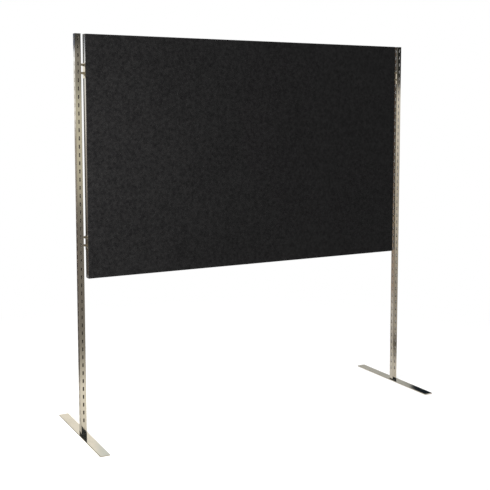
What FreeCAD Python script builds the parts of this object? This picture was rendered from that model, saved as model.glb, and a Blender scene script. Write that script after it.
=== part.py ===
import FreeCAD, Part
import math
import os
import Sketcher

# A free-standing exhibition partition: a fabric-covered hollow-core panel hung by hook brackets
# between two slotted square posts, each of which stands on a flat bar running front to back.
#
# Frame of the model: origin on the floor midway between the posts, X along the panel's width,
# the front of the panel facing -Y, Z up.  Millimetres throughout.

SIZES = {
    # posts
    "post_side": 30,
    "post_wall": 2,
    "post_corner": 2.5,
    "post_tall": 1972,
    "slot_tall": 20,
    "slot_wide": 6,
    "slot_pitch": 40,
    "first_slot_up": 71,
    "slot_end_margin": 20,
    "cap_flange": 2,
    "cap_plug": 8,
    "cap_edge": 0.8,
    "insert_tall": 22,
    "insert_chamfer": 1,
    "inside_fit": 0.1,
    # feet
    "foot_long": 655,
    "foot_wide": 50,
    "foot_thick": 4.5,
    "foot_corner": 2,
    "foot_edge": 0.6,
    "pad_thick": 1.5,
    "pad_radius": 14,
    "pad_inset": 32,
    "foot_screw_radius": 3,
    "foot_screw_long": 18,
    "foot_screw_spacing": 13,
    "foot_head_radius": 6,
    "foot_head_tall": 3.3,
    "foot_head_recess": 0.2,
    "socket_radius": 2.3,
    "socket_deep": 2,
    "screw_clearance": 0.05,
    # panel
    "panel_wide": 1862,
    "panel_tall": 1192,
    "panel_deep": 44,
    "hang_gap": 20,
    "fabric_thick": 1.2,
    "board_thick": 3,
    "timber_wide": 34,
    "dowel_radius": 4,
    "dowel_long": 50,
    "dowel_spacing": 18,
    "dowel_clearance": 0.05,
    "strip_thick": 2,
    "upright_strips": 6,
    "level_strips": 7,
    # metal channel let into each side of the panel
    "channel_deep": 8,
    "channel_wall": 1.5,
    "channel_groove": 13,
    "channel_end": 16,
    "channel_screw_inset": 125,
    "channel_screw_radius": 2,
    "channel_screw_long": 22,
    "channel_head_radius": 3.8,
    "channel_head_tall": 2,
    # hook brackets
    "upper_slot_drop": 3,
    "bracket_inset": 176,
    "bracket_tall": 74,
    "hook_gusset": 4,
    "hook_thick": 3,
    "neck_tall": 10,
    "neck_top_inset": 3,
    "lip_drop": 7,
    "lip_long": 3.5,
    "hook_play": 0.5,
    "web_clearance": 1,
    "flange_thick": 2.5,
    "flange_margin": 0.5,
    "flange_corner": 4,
    "bracket_screw_radius": 2.2,
    "bracket_screw_long": 34,
    "bracket_screw_spacing": 46,
    "bracket_head_radius": 4.2,
    "bracket_head_tall": 2.2,
}

doc = FreeCAD.newDocument("partition_wall")
sizes = doc.addObject("Spreadsheet::Sheet", "Sizes")
for row, (alias, amount) in enumerate(SIZES.items(), start=1):
    sizes.set(f"A{row}", alias.replace("_", " "))
    sizes.set(f"B{row}", str(amount))
    sizes.setAlias(f"B{row}", alias)
doc.recompute()


def term(formula):
    """The formula in brackets, with each size's alias given its sheet's name."""
    words = formula.replace("(", " ( ").replace(")", " ) ").split()
    return "(" + " ".join(f"Sizes.{word}" if word in SIZES else word for word in words) + ")"


def number(expression):
    """The present value of an expression, as a plain float."""
    return float(sizes.evalExpression(expression))


# Heights and places worked out from the sizes, as expressions.
FOOT_TOP = term("pad_thick + foot_thick")
POST_TOP = f"({FOOT_TOP} + {term('post_tall')})"
POST_PLACE = term("panel_wide / 2 + hang_gap + post_side / 2")
POST_INSIDE = term("post_side - 2 * post_wall")
SLOT_COUNT = f"(floor({term('( post_tall - first_slot_up - slot_end_margin ) / slot_pitch')}) + 1)"
# A flat hook rests on the rounded end of a slot a little above the slot's lowest point.
SEAT_RISE = (
    f"({term('slot_wide / 2')} - "
    f"sqrt({term('slot_wide / 2')} ^ 2 - {term('hook_thick / 2')} ^ 2))"
)
UPPER_SLOT = (
    f"({FOOT_TOP} + {term('first_slot_up')} + "
    f"({SLOT_COUNT} - 1 - {term('upper_slot_drop')}) * {term('slot_pitch')})"
)
UPPER_NECK = f"({UPPER_SLOT} - {term('slot_tall / 2')} + {SEAT_RISE})"
UPPER_BRACKET = f"({UPPER_NECK} + {term('neck_tall + neck_top_inset - bracket_tall')})"
BRACKET_PITCHES = f"round({term('( panel_tall - 2 * bracket_inset ) / slot_pitch')})"
BRACKET_SPACING = f"({BRACKET_PITCHES} * {term('slot_pitch')})"
LOWER_BRACKET = f"({UPPER_BRACKET} - {BRACKET_SPACING})"
PANEL_MIDDLE = f"({UPPER_BRACKET} + {term('bracket_tall / 2')} - {BRACKET_SPACING} / 2)"
PANEL_BOTTOM = f"({PANEL_MIDDLE} - {term('panel_tall / 2')})"
PANEL_TOP = f"({PANEL_MIDDLE} + {term('panel_tall / 2')})"
PANEL_EDGE = term("panel_wide / 2")
FRAME_DEEP = term("panel_deep - 2 * fabric_thick - 2 * board_thick")
BOARD_FACE = term("panel_deep / 2 - fabric_thick")
STILE_FACE = term("panel_wide / 2 - channel_deep")
STILE_INNER = term("panel_wide / 2 - channel_deep - timber_wide")
FRAME_BOTTOM = f"({PANEL_BOTTOM} + {term('fabric_thick')})"
FRAME_TOP = f"({PANEL_TOP} - {term('fabric_thick')})"
CHANNEL_BOTTOM = f"({PANEL_BOTTOM} + {term('channel_end')})"
CHANNEL_TALL = term("panel_tall - 2 * channel_end")
FLANGE_BACK = f"({FRAME_DEEP} / 2 - {term('channel_wall + channel_groove')})"
GROOVE_MIDDLE = f"({FRAME_DEEP} / 2 - {term('channel_wall + channel_groove / 2')})"
FLANGE_FRONT = f"(0 - {FRAME_DEEP} / 2 + {term('flange_margin')})"
BRACKET_SCREW_Y = f"(({FLANGE_FRONT} - {term('hook_thick / 2')}) / 2)"
BRACKET_MIDDLE = term("bracket_tall / 2")


def bind(item, **expressions):
    """Set an expression on each named property; a double underscore stands for a dot."""
    for name, expression in expressions.items():
        item.setExpression(name.replace("__", "."), str(expression))


def place(item, x="0", y="0", z="0"):
    """Put an item's own origin at a point."""
    bind(item, Placement__Base__x=x, Placement__Base__y=y, Placement__Base__z=z)


def box(name, x, y, z):
    """A block that spans each (low, high) pair of expressions."""
    block = doc.addObject("Part::Box", name)
    bind(
        block,
        Length=f"({x[1]}) - ({x[0]})",
        Width=f"({y[1]}) - ({y[0]})",
        Height=f"({z[1]}) - ({z[0]})",
    )
    place(block, x[0], y[0], z[0])
    return block


def outward(side, low, high):
    """A span measured outward from the panel's middle plane, on the left (-1) or right (1)."""
    return (low, high) if side > 0 else (f"0 - {high}", f"0 - {low}")


def rod(name, radius, length, x, y, z, axis=FreeCAD.Vector(0, 0, 1)):
    """A cylinder that starts at a point and runs along an axis."""
    cylinder = doc.addObject("Part::Cylinder", name)
    cylinder.Placement.Rotation = FreeCAD.Rotation(FreeCAD.Vector(0, 0, 1), axis)
    bind(cylinder, Radius=radius, Height=length)
    place(cylinder, x, y, z)
    return cylinder


def cut(name, base, tools):
    """The base with every tool taken away."""
    tool = tools[0]
    if len(tools) > 1:
        tool = doc.addObject("Part::Compound", name + "_tools")
        tool.Links = tools
    piece = doc.addObject("Part::Cut", name)
    piece.Base = base
    piece.Tool = tool
    return piece


def fuse(name, shapes):
    """One solid from shapes that overlap or meet face to face."""
    piece = doc.addObject("Part::MultiFuse", name)
    piece.Shapes = shapes
    piece.Refine = True
    return piece


def group(name, shapes):
    """Several separate solids kept in one sub-part."""
    pieces = doc.addObject("Part::Compound", name)
    pieces.Links = shapes
    return pieces


def new_body(name):
    """An empty PartDesign body."""
    return doc.addObject("PartDesign::Body", name)


def origin_feature(body, role):
    """One of the body's own origin planes or axes, such as XY_Plane or Z_Axis."""
    return next(feature for feature in body.Origin.OriginFeatures if feature.Role == role)


def new_sketch(body, name, plane, height="0"):
    """A sketch on one of the body's origin planes, raised along the sketch's own Y by height."""
    sketch = body.newObject("Sketcher::SketchObject", name)
    sketch.AttachmentSupport = (origin_feature(body, plane), [""])
    sketch.MapMode = "FlatFace"
    bind(sketch, AttachmentOffset__Base__y=height)
    return sketch


def fix_point(sketch, edge, vertex, x, y):
    """Hold a point of the sketch at two distances from the sketch's origin."""
    for kind, expression in (("DistanceX", x), ("DistanceY", y)):
        constraint = Sketcher.Constraint(kind, -1, 1, edge, vertex, number(expression))
        index = sketch.addConstraint(constraint)
        sketch.renameConstraint(index, f"{kind}{index}")
        sketch.setExpression(f"Constraints.{kind}{index}", expression)


def draw_polygon(sketch, points):
    """A closed outline through points given as (x, y) expressions."""
    corners = [FreeCAD.Vector(number(x), number(y), 0) for x, y in points]
    first = sketch.GeometryCount
    count = len(corners)
    for index, corner in enumerate(corners):
        sketch.addGeometry(Part.LineSegment(corner, corners[(index + 1) % count]), False)
    for index in range(count):
        follower = first + (index + 1) % count
        sketch.addConstraint(Sketcher.Constraint("Coincident", first + index, 2, follower, 1))
    for index, (x, y) in enumerate(points):
        fix_point(sketch, first + index, 1, x, y)


def draw_circle(sketch, x, y, radius):
    """A circle whose centre and radius are expressions."""
    centre = FreeCAD.Vector(number(x), number(y), 0)
    circle = Part.Circle(centre, FreeCAD.Vector(0, 0, 1), number(radius))
    edge = sketch.addGeometry(circle, False)
    fix_point(sketch, edge, 3, x, y)
    index = sketch.addConstraint(Sketcher.Constraint("Radius", edge, number(radius)))
    sketch.renameConstraint(index, f"Radius{index}")
    sketch.setExpression(f"Constraints.Radius{index}", radius)


def draw_rounded(sketch, half_x, half_y, radius):
    """A rectangle about the sketch's origin with rounded corners; the sizes are expressions.

    Where the radius equals half_x the straight ends vanish and the outline is a slot.
    """
    reach_x = number(half_x)
    reach_y = number(half_y)
    bend = number(radius)
    is_slot = math.isclose(bend, reach_x)
    inner_x = reach_x - bend
    inner_y = reach_y - bend
    axis = FreeCAD.Vector(0, 0, 1)
    if is_slot:
        turns = [(0, inner_y, 0, math.pi), (0, -inner_y, math.pi, 2 * math.pi)]
        centres = [("0", f"({half_y}) - {radius}"), ("0", f"{radius} - ({half_y})")]
    else:
        quarter = math.pi / 2
        turns = [
            (inner_x, inner_y, 0, quarter),
            (-inner_x, inner_y, quarter, 2 * quarter),
            (-inner_x, -inner_y, 2 * quarter, 3 * quarter),
            (inner_x, -inner_y, 3 * quarter, 4 * quarter),
        ]
        right, left = f"({half_x}) - {radius}", f"{radius} - ({half_x})"
        top, bottom = f"({half_y}) - {radius}", f"{radius} - ({half_y})"
        centres = [(right, top), (left, top), (left, bottom), (right, bottom)]
    arcs = []
    for x, y, start, end in turns:
        circle = Part.Circle(FreeCAD.Vector(x, y, 0), axis, bend)
        arcs.append(sketch.addGeometry(Part.ArcOfCircle(circle, start, end), False))
    lines = []
    for index, arc in enumerate(arcs):
        follower = arcs[(index + 1) % len(arcs)]
        start = sketch.Geometry[arc].EndPoint
        end = sketch.Geometry[follower].StartPoint
        lines.append(sketch.addGeometry(Part.LineSegment(start, end), False))
    for index, (arc, line) in enumerate(zip(arcs, lines)):
        follower = arcs[(index + 1) % len(arcs)]
        sketch.addConstraint(Sketcher.Constraint("Tangent", arc, 2, line, 1))
        sketch.addConstraint(Sketcher.Constraint("Tangent", line, 2, follower, 1))
    for arc, (x, y) in zip(arcs, centres):
        fix_point(sketch, arc, 3, x, y)
    index = sketch.addConstraint(Sketcher.Constraint("Radius", arcs[0], bend))
    sketch.renameConstraint(index, f"Radius{index}")
    sketch.setExpression(f"Constraints.Radius{index}", radius)


def pad(body, sketch, length, symmetric=False, reverse=False):
    """Material along the sketch's normal."""
    feature = body.newObject("PartDesign::Pad", sketch.Name + "_pad")
    feature.Profile = sketch
    feature.SideType = "Symmetric" if symmetric else "One side"
    feature.Reversed = reverse
    bind(feature, Length=length)
    doc.recompute()
    return feature


def pocket_through(body, sketch):
    """A cut right through the body, both ways from the sketch; it must take material away."""
    before = body.Shape.Volume
    feature = body.newObject("PartDesign::Pocket", sketch.Name + "_pocket")
    feature.Profile = sketch
    feature.Type = "ThroughAll"
    feature.SideType = "Symmetric"
    doc.recompute()
    if feature.Shape.Volume >= before:
        raise RuntimeError(f"{feature.Name} cuts nothing")
    return feature


def repeat(body, feature, count, pitch):
    """The feature again and again up the body's own Z axis."""
    pattern = body.newObject("PartDesign::LinearPattern", feature.Name + "_row")
    pattern.Originals = [feature]
    pattern.Direction = (origin_feature(body, "Z_Axis"), [""])
    bind(pattern, Length=f"({count} - 1) * {pitch}", Occurrences=count)
    body.Tip = pattern
    doc.recompute()
    return pattern


def edges_at(feature, keeps):
    """Names of the feature's edges whose every vertex passes the test."""
    return [
        f"Edge{index}"
        for index, edge in enumerate(feature.Shape.Edges, start=1)
        if all(keeps(vertex.Point) for vertex in edge.Vertexes)
    ]


def chamfer(body, feature, edges, size):
    """A small bevel along named edges."""
    bevel = body.newObject("PartDesign::Chamfer", feature.Name + "_chamfer")
    bevel.Base = (feature, edges)
    bind(bevel, Size=size)
    body.Tip = bevel
    doc.recompute()
    return bevel


def make_post(name, side):
    """A square tube with a column of slots in the middle of each of its four faces."""
    body = new_body(name)
    section = new_sketch(body, name + "_section", "XY_Plane")
    draw_rounded(section, term("post_side / 2"), term("post_side / 2"), term("post_corner"))
    inside = f"{POST_INSIDE} / 2"
    draw_rounded(section, inside, inside, term("post_corner - post_wall"))
    pad(body, section, term("post_tall"))
    for plane in ("XZ_Plane", "YZ_Plane"):
        slot = new_sketch(body, f"{name}_slot_{plane[:2]}", plane, term("first_slot_up"))
        draw_rounded(slot, term("slot_wide / 2"), term("slot_tall / 2"), term("slot_wide / 2"))
        repeat(body, pocket_through(body, slot), SLOT_COUNT, term("slot_pitch"))
    place(body, x=f"{side} * {POST_PLACE}", z=FOOT_TOP)
    return body


def make_cap(name, side):
    """A plastic cap: a thin flange on the post's end and a plug inside it."""
    body = new_body(name)
    flange = new_sketch(body, name + "_flange", "XY_Plane")
    draw_rounded(flange, term("post_side / 2"), term("post_side / 2"), term("post_corner"))
    lid = pad(body, flange, term("cap_flange"))
    top = number(term("cap_flange"))
    chamfer(body, lid, edges_at(lid, lambda point: math.isclose(point.z, top)), term("cap_edge"))
    plug = new_sketch(body, name + "_plug", "XY_Plane")
    half = f"{POST_INSIDE} / 2 - {term('inside_fit')}"
    draw_rounded(plug, half, half, term("post_corner - post_wall + inside_fit"))
    body.Tip = pad(body, plug, term("cap_plug"), reverse=True)
    place(body, x=f"{side} * {POST_PLACE}", z=POST_TOP)
    return body


def foot_screw_places(side):
    """The (x, y) of the two screws under a post."""
    spread = term("foot_screw_spacing / 2")
    return [(f"{side} * {POST_PLACE}", f"{end} * {spread}") for end in (-1, 1)]


def make_insert(name, side):
    """A steel block in the post's foot end, tapped for the two foot screws."""
    middle = f"{side} * {POST_PLACE}"
    half = f"({POST_INSIDE} / 2 - {term('inside_fit')})"
    top = f"{FOOT_TOP} + {term('insert_tall')}"
    span = (f"{middle} - {half}", f"{middle} + {half}")
    block = box(name + "_block", span, (f"0 - {half}", half), (FOOT_TOP, top))
    doc.recompute()
    upright = [
        index
        for index, edge in enumerate(block.Shape.Edges, start=1)
        if math.isclose(edge.Vertexes[0].X, edge.Vertexes[1].X)
        and math.isclose(edge.Vertexes[0].Y, edge.Vertexes[1].Y)
    ]
    bevelled = doc.addObject("Part::Chamfer", name + "_bevelled")
    bevelled.Base = block
    bevel = number(term("insert_chamfer"))
    bevelled.Edges = [(index, bevel, bevel) for index in upright]
    radius = term("foot_screw_radius + screw_clearance")
    holes = [
        rod(f"{name}_hole_{index}", radius, term("insert_tall"), x, y, FOOT_TOP)
        for index, (x, y) in enumerate(foot_screw_places(side))
    ]
    return cut(name, bevelled, holes)


def countersink(name, radius, head_radius, tall, x, y, z):
    """The cone of a countersunk head, wide end down."""
    cone = doc.addObject("Part::Cone", name)
    bind(cone, Radius1=head_radius, Radius2=radius, Height=tall)
    place(cone, x, y, z)
    return cone


def make_foot(name, side):
    """A flat bar with softened edges and two countersunk holes for the post's screws."""
    body = new_body(name + "_bar")
    outline = new_sketch(body, name + "_outline", "XY_Plane")
    draw_rounded(outline, term("foot_wide / 2"), term("foot_long / 2"), term("foot_corner"))
    bar = pad(body, outline, term("foot_thick"))
    top = number(term("foot_thick"))
    chamfer(body, bar, edges_at(bar, lambda point: math.isclose(point.z, top)), term("foot_edge"))
    place(body, x=f"{side} * {POST_PLACE}", z=term("pad_thick"))
    tools = []
    for index, (x, y) in enumerate(foot_screw_places(side)):
        tools.append(
            rod(
                f"{name}_hole_{index}",
                term("foot_screw_radius + screw_clearance"),
                term("foot_thick"),
                x,
                y,
                term("pad_thick"),
            )
        )
        tools.append(
            rod(
                f"{name}_mouth_{index}",
                term("foot_head_radius + screw_clearance"),
                term("foot_head_recess"),
                x,
                y,
                term("pad_thick"),
            )
        )
        tools.append(
            countersink(
                f"{name}_sink_{index}",
                term("foot_screw_radius + screw_clearance"),
                term("foot_head_radius + screw_clearance"),
                term("foot_head_tall"),
                x,
                y,
                term("pad_thick + foot_head_recess"),
            )
        )
    return cut(name, body, tools)


def make_foot_screws(name, side):
    """Two countersunk socket screws that hold the foot to the post."""
    screws = []
    start = term("pad_thick + foot_head_recess")
    for index, (x, y) in enumerate(foot_screw_places(side)):
        shank = rod(
            f"{name}_shank_{index}", term("foot_screw_radius"), term("foot_screw_long"), x, y, start
        )
        head = countersink(
            f"{name}_head_{index}",
            term("foot_screw_radius"),
            term("foot_head_radius"),
            term("foot_head_tall"),
            x,
            y,
            start,
        )
        socket = doc.addObject("Part::Prism", f"{name}_socket_{index}")
        socket.Polygon = 6
        bind(socket, Circumradius=term("socket_radius"), Height=term("socket_deep"))
        place(socket, x, y, start)
        screws.append(cut(f"{name}_{index}", fuse(f"{name}_whole_{index}", [shank, head]), [socket]))
    return group(name, screws)


def make_foot_pads(name, side):
    """Rubber pads under the front and back ends of a foot."""
    reach = term("foot_long / 2 - pad_inset")
    x = f"{side} * {POST_PLACE}"
    return group(
        name,
        [
            rod(f"{name}_{index}", term("pad_radius"), term("pad_thick"), x, f"{end} * {reach}", "0")
            for index, end in enumerate((-1, 1))
        ],
    )


def make_fabric(name, facing):
    """One cover: a sheet over the face, folded back over the four edges of the panel."""
    thick = term("fabric_thick")
    face = term("panel_deep / 2")
    edge_return = f"{BOARD_FACE} - {term('board_thick')}"

    def depth(low, high):
        return (low, high) if facing > 0 else (f"0 - ({high})", f"0 - ({low})")

    wide = (f"0 - {PANEL_EDGE}", PANEL_EDGE)
    tall = (PANEL_BOTTOM, PANEL_TOP)
    folds = [
        box(name + "_face", wide, depth(BOARD_FACE, face), tall),
        box(name + "_top", wide, depth("0", face), (f"{PANEL_TOP} - {thick}", PANEL_TOP)),
        box(name + "_bottom", wide, depth("0", face), (PANEL_BOTTOM, f"{PANEL_BOTTOM} + {thick}")),
    ]
    for side, word in ((-1, "left"), (1, "right")):
        span = outward(side, f"({PANEL_EDGE} - {thick})", PANEL_EDGE)
        folds.append(box(f"{name}_{word}", span, depth(edge_return, face), tall))
    return fuse(name, folds)


def make_board(name, facing):
    """A thin hardboard skin glued to the timber frame."""
    inner = f"({BOARD_FACE} - {term('board_thick')})"
    depth = (inner, BOARD_FACE) if facing > 0 else (f"0 - {BOARD_FACE}", f"0 - {inner}")
    half = f"({PANEL_EDGE} - {term('fabric_thick')})"
    return box(name, (f"0 - {half}", half), depth, (FRAME_BOTTOM, FRAME_TOP))


def frame_depth():
    """The span in Y of the timber frame."""
    return (f"0 - {FRAME_DEEP} / 2", f"{FRAME_DEEP} / 2")


def dowel_rods(name, radius, side, length):
    """Four dowels across the joints of one stile with the two rails."""
    rods = []
    half = f"({length} / 2)"
    start = f"{side} * {STILE_INNER} - {half}"
    levels = (f"{FRAME_BOTTOM} + {term('timber_wide / 2')}", f"{FRAME_TOP} - {term('timber_wide / 2')}")
    for level, height in enumerate(levels):
        for index, end in enumerate((-1, 1)):
            y = f"{end} * {term('dowel_spacing / 2')}"
            rods.append(
                rod(f"{name}_{level}{index}", radius, length, start, y, height, FreeCAD.Vector(1, 0, 0))
            )
    return rods


def channel_screw_heights():
    """The three screws down the groove of an edge channel."""
    inset = term("channel_screw_inset")
    return [f"{PANEL_BOTTOM} + {inset}", PANEL_MIDDLE, f"{PANEL_TOP} - {inset}"]


def bracket_screw_heights():
    """Two screws in each of the two brackets on one side."""
    half = term("bracket_screw_spacing / 2")
    return [
        f"{base} + {BRACKET_MIDDLE} + {end} * {half}"
        for base in (LOWER_BRACKET, UPPER_BRACKET)
        for end in (-1, 1)
    ]


def side_rods(name, side, radius, start, length, y, heights):
    """Rods that point into the panel from one side, at several heights."""
    inward = FreeCAD.Vector(-side, 0, 0)
    return [
        rod(f"{name}_{index}", radius, length, f"{side} * {start}", y, height, inward)
        for index, height in enumerate(heights)
    ]


CHANNEL_SCREW_START = f"({STILE_FACE} + {term('channel_wall')})"
BRACKET_SCREW_START = f"({PANEL_EDGE} + {term('flange_thick')})"


def screw_holes(name, side, clearance):
    """Clearance cuts for every screw that enters one side of the panel."""
    return side_rods(
        name + "_channel",
        side,
        f"{term('channel_screw_radius')} + {clearance}",
        CHANNEL_SCREW_START,
        term("channel_screw_long"),
        GROOVE_MIDDLE,
        channel_screw_heights(),
    ) + side_rods(
        name + "_bracket",
        side,
        f"{term('bracket_screw_radius')} + {clearance}",
        BRACKET_SCREW_START,
        term("bracket_screw_long"),
        BRACKET_SCREW_Y,
        bracket_screw_heights(),
    )


def make_stile(name, side):
    """An upright of the timber frame, bored for dowels and screws."""
    span = outward(side, STILE_INNER, STILE_FACE)
    timber = box(name + "_timber", span, frame_depth(), (FRAME_BOTTOM, FRAME_TOP))
    bore = term("dowel_radius + dowel_clearance")
    tools = dowel_rods(name + "_bore", bore, side, term("dowel_long"))
    tools += screw_holes(name + "_pilot", side, term("screw_clearance"))
    return cut(name, timber, tools)


def make_rail(name, low, high):
    """A level member of the timber frame between the two stiles."""
    timber = box(name + "_timber", (f"0 - {STILE_INNER}", STILE_INNER), frame_depth(), (low, high))
    bore = term("dowel_radius + dowel_clearance")
    tools = []
    for side, word in ((-1, "left"), (1, "right")):
        tools += dowel_rods(f"{name}_{word}_bore", bore, side, term("dowel_long"))
    return cut(name, timber, tools)


def make_core(name, side):
    """Half of the hollow core: thin cardboard strips slotted together as a lattice."""
    low = f"({FRAME_BOTTOM} + {term('timber_wide')})"
    high = f"({FRAME_TOP} - {term('timber_wide')})"
    inner = term("timber_wide / 2")
    half_strip = term("strip_thick / 2")
    uprights = int(number(term("upright_strips")))
    levels = int(number(term("level_strips")))
    strips = []
    for index in range(1, uprights + 1):
        step = f"({STILE_INNER} - {inner}) * {index} / ({term('upright_strips')} + 1)"
        middle = f"({inner} + {step})"
        span = outward(side, f"({middle} - {half_strip})", f"({middle} + {half_strip})")
        strips.append(box(f"{name}_upright_{index}", span, frame_depth(), (low, high)))
    for index in range(1, levels + 1):
        middle = f"({low} + ({high} - {low}) * {index} / ({term('level_strips')} + 1))"
        tall = (f"{middle} - {half_strip}", f"{middle} + {half_strip}")
        strips.append(
            box(f"{name}_level_{index}", outward(side, inner, STILE_INNER), frame_depth(), tall)
        )
    return fuse(name, strips)


def make_channel(name, side):
    """An extruded channel let into the panel's side: a hollow land in front, a groove behind."""
    body = new_body(name + "_extrusion")
    section = new_sketch(body, name + "_section", "XY_Plane")
    front = f"0 - {FRAME_DEEP} / 2"
    back = f"{FRAME_DEEP} / 2"
    wall = term("channel_wall")
    deep = f"{side} * {term('channel_deep')}"
    floor = f"{side} * {wall}"
    ceiling = f"{side} * {term('channel_deep - channel_wall')}"
    outline = [
        ("0", front),
        (deep, front),
        (deep, FLANGE_BACK),
        (floor, FLANGE_BACK),
        (floor, f"{back} - {wall}"),
        (deep, f"{back} - {wall}"),
        (deep, back),
        ("0", back),
    ]
    hollow = [
        (floor, f"{front} + {wall}"),
        (ceiling, f"{front} + {wall}"),
        (ceiling, f"{FLANGE_BACK} - {wall}"),
        (floor, f"{FLANGE_BACK} - {wall}"),
    ]
    draw_polygon(section, outline)
    draw_polygon(section, hollow)
    pad(body, section, CHANNEL_TALL)
    place(body, x=f"{side} * {STILE_FACE}", z=CHANNEL_BOTTOM)
    return cut(name, body, screw_holes(name + "_hole", side, term("screw_clearance")))


def make_end_caps(name, side):
    """Black plastic blocks that close the two ends of an edge channel."""
    span = outward(side, STILE_FACE, PANEL_EDGE)
    channel_top = f"{CHANNEL_BOTTOM} + {CHANNEL_TALL}"
    ends = ((FRAME_BOTTOM, CHANNEL_BOTTOM), (channel_top, FRAME_TOP))
    return group(
        name,
        [box(f"{name}_{index}", span, frame_depth(), ends[index]) for index in range(len(ends))],
    )


def make_side_screws(name, side, kind, start, y, heights):
    """Pan-head screws that enter one side of the panel."""
    radius = term(f"{kind}_screw_radius")
    shanks = side_rods(name + "_shank", side, radius, start, term(f"{kind}_screw_long"), y, heights)
    head_tall = term(f"{kind}_head_tall")
    heads = side_rods(
        name + "_head",
        side,
        term(f"{kind}_head_radius"),
        f"({start} + {head_tall})",
        head_tall,
        y,
        heights,
    )
    return group(
        name, [fuse(f"{name}_{index}", list(pair)) for index, pair in enumerate(zip(shanks, heads))]
    )


def make_bracket(name, side, height):
    """A hook bracket: a flange screwed to the panel's side and two hooks for the post."""
    body = new_body(name)
    flange = new_sketch(body, name + "_flange", "YZ_Plane")
    back = f"(0 - {FLANGE_FRONT})"
    corner = term("flange_corner")
    top = term("bracket_tall")
    flange_outline = [
        (f"{FLANGE_FRONT} + {corner}", "0"),
        (f"{back} - {corner}", "0"),
        (back, corner),
        (back, f"{top} - {corner}"),
        (f"{back} - {corner}", top),
        (f"{FLANGE_FRONT} + {corner}", top),
        (FLANGE_FRONT, f"{top} - {corner}"),
        (FLANGE_FRONT, corner),
    ]
    draw_polygon(flange, flange_outline)
    pad(body, flange, term("flange_thick"), reverse=side < 0)
    hooks = new_sketch(body, name + "_hooks", "XZ_Plane")
    lip_start = f"({term('hang_gap')} + {term('post_wall + hook_play')})"
    lip_end = f"({lip_start} + {term('lip_long')})"
    neck_start = term("hang_gap - web_clearance")
    bevel = term("lip_long / 2")
    top_neck = term("bracket_tall - neck_top_inset")
    for drop in (term("slot_pitch"), "0"):
        neck_top = f"({top_neck} - {drop})"
        neck_bottom = f"({neck_top} - {term('neck_tall')})"
        lip_bottom = f"({neck_bottom} - {term('lip_drop')})"
        outline = [
            ("0", f"{neck_bottom} - {term('hook_gusset')}"),
            (neck_start, neck_bottom),
            (lip_start, neck_bottom),
            (lip_start, f"{lip_bottom} + {bevel}"),
            (f"{lip_start} + {bevel}", lip_bottom),
            (lip_end, lip_bottom),
            (lip_end, f"{neck_top} - {bevel}"),
            (f"{lip_end} - {bevel}", neck_top),
            ("0", neck_top),
        ]
        draw_polygon(hooks, [(f"{side} * ({x})", y) for x, y in outline])
    pad(body, hooks, term("hook_thick"), symmetric=True)
    holes = new_sketch(body, name + "_holes", "YZ_Plane")
    for end in (-1, 1):
        middle = f"{BRACKET_MIDDLE} + {end} * {term('bracket_screw_spacing / 2')}"
        radius = term("bracket_screw_radius + screw_clearance")
        draw_circle(holes, BRACKET_SCREW_Y, middle, radius)
    body.Tip = pocket_through(body, holes)
    place(body, x=f"{side} * {PANEL_EDGE}", z=height)
    return body


def build_side(word, side):
    """Every sub-part that belongs to the left or the right of the partition."""
    return [
        make_post(f"{word}_post", side),
        make_cap(f"{word}_post_cap", side),
        make_insert(f"{word}_post_insert", side),
        make_foot(f"{word}_foot", side),
        make_foot_screws(f"{word}_foot_screws", side),
        make_foot_pads(f"{word}_foot_pads", side),
        make_stile(f"{word}_stile", side),
        group(
            f"{word}_dowels",
            dowel_rods(f"{word}_dowel", term("dowel_radius"), side, term("dowel_long")),
        ),
        make_core(f"{word}_core_lattice", side),
        make_channel(f"{word}_edge_channel", side),
        make_end_caps(f"{word}_channel_caps", side),
        make_side_screws(
            f"{word}_channel_screws",
            side,
            "channel",
            CHANNEL_SCREW_START,
            GROOVE_MIDDLE,
            channel_screw_heights(),
        ),
        make_bracket(f"{word}_upper_hook_bracket", side, UPPER_BRACKET),
        make_bracket(f"{word}_lower_hook_bracket", side, LOWER_BRACKET),
        make_side_screws(
            f"{word}_bracket_screws",
            side,
            "bracket",
            BRACKET_SCREW_START,
            BRACKET_SCREW_Y,
            bracket_screw_heights(),
        ),
    ]


def build_middle():
    """Every sub-part that spans the partition or lies in its middle."""
    timber = term("timber_wide")
    half = term("timber_wide / 2")
    inner_low = f"({FRAME_BOTTOM} + {timber})"
    inner_high = f"({FRAME_TOP} - {timber})"
    return [
        make_fabric("front_fabric", -1),
        make_fabric("back_fabric", 1),
        make_board("front_board", -1),
        make_board("back_board", 1),
        make_rail("bottom_rail", FRAME_BOTTOM, inner_low),
        make_rail("top_rail", inner_high, FRAME_TOP),
        box("centre_stile", (f"0 - {half}", half), frame_depth(), (inner_low, inner_high)),
    ]


def check_and_write(parts):
    """Stop if any object failed or any sub-part isn't a sound solid, then write the files."""
    doc.recompute()
    for item in doc.Objects:
        if "Invalid" in item.State or "Error" in item.State:
            raise RuntimeError(f"{item.Name} failed: {item.State}")
    for part in parts:
        part.Label = part.Name
        if part.Shape.isNull() or not part.Shape.isValid() or not part.Shape.Solids:
            raise RuntimeError(f"{part.Label} has no sound shape")
    os.makedirs("parts", exist_ok=True)
    for part in parts:
        part.Shape.exportStep(f"parts/{part.Label}.step")
        print(part.Label, len(part.Shape.Solids), round(part.Shape.Volume / 1000, 1), "cm3")


check_and_write(build_side("left", -1) + build_side("right", 1) + build_middle())
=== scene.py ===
"""Looks for a free-standing exhibition partition: chromed slotted posts, felt-covered panel."""

import logging
import math
from dataclasses import dataclass
from enum import Enum
from typing import Any, Iterable, Sequence

import bmesh
import bpy
from mathutils import Matrix, Vector


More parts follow.
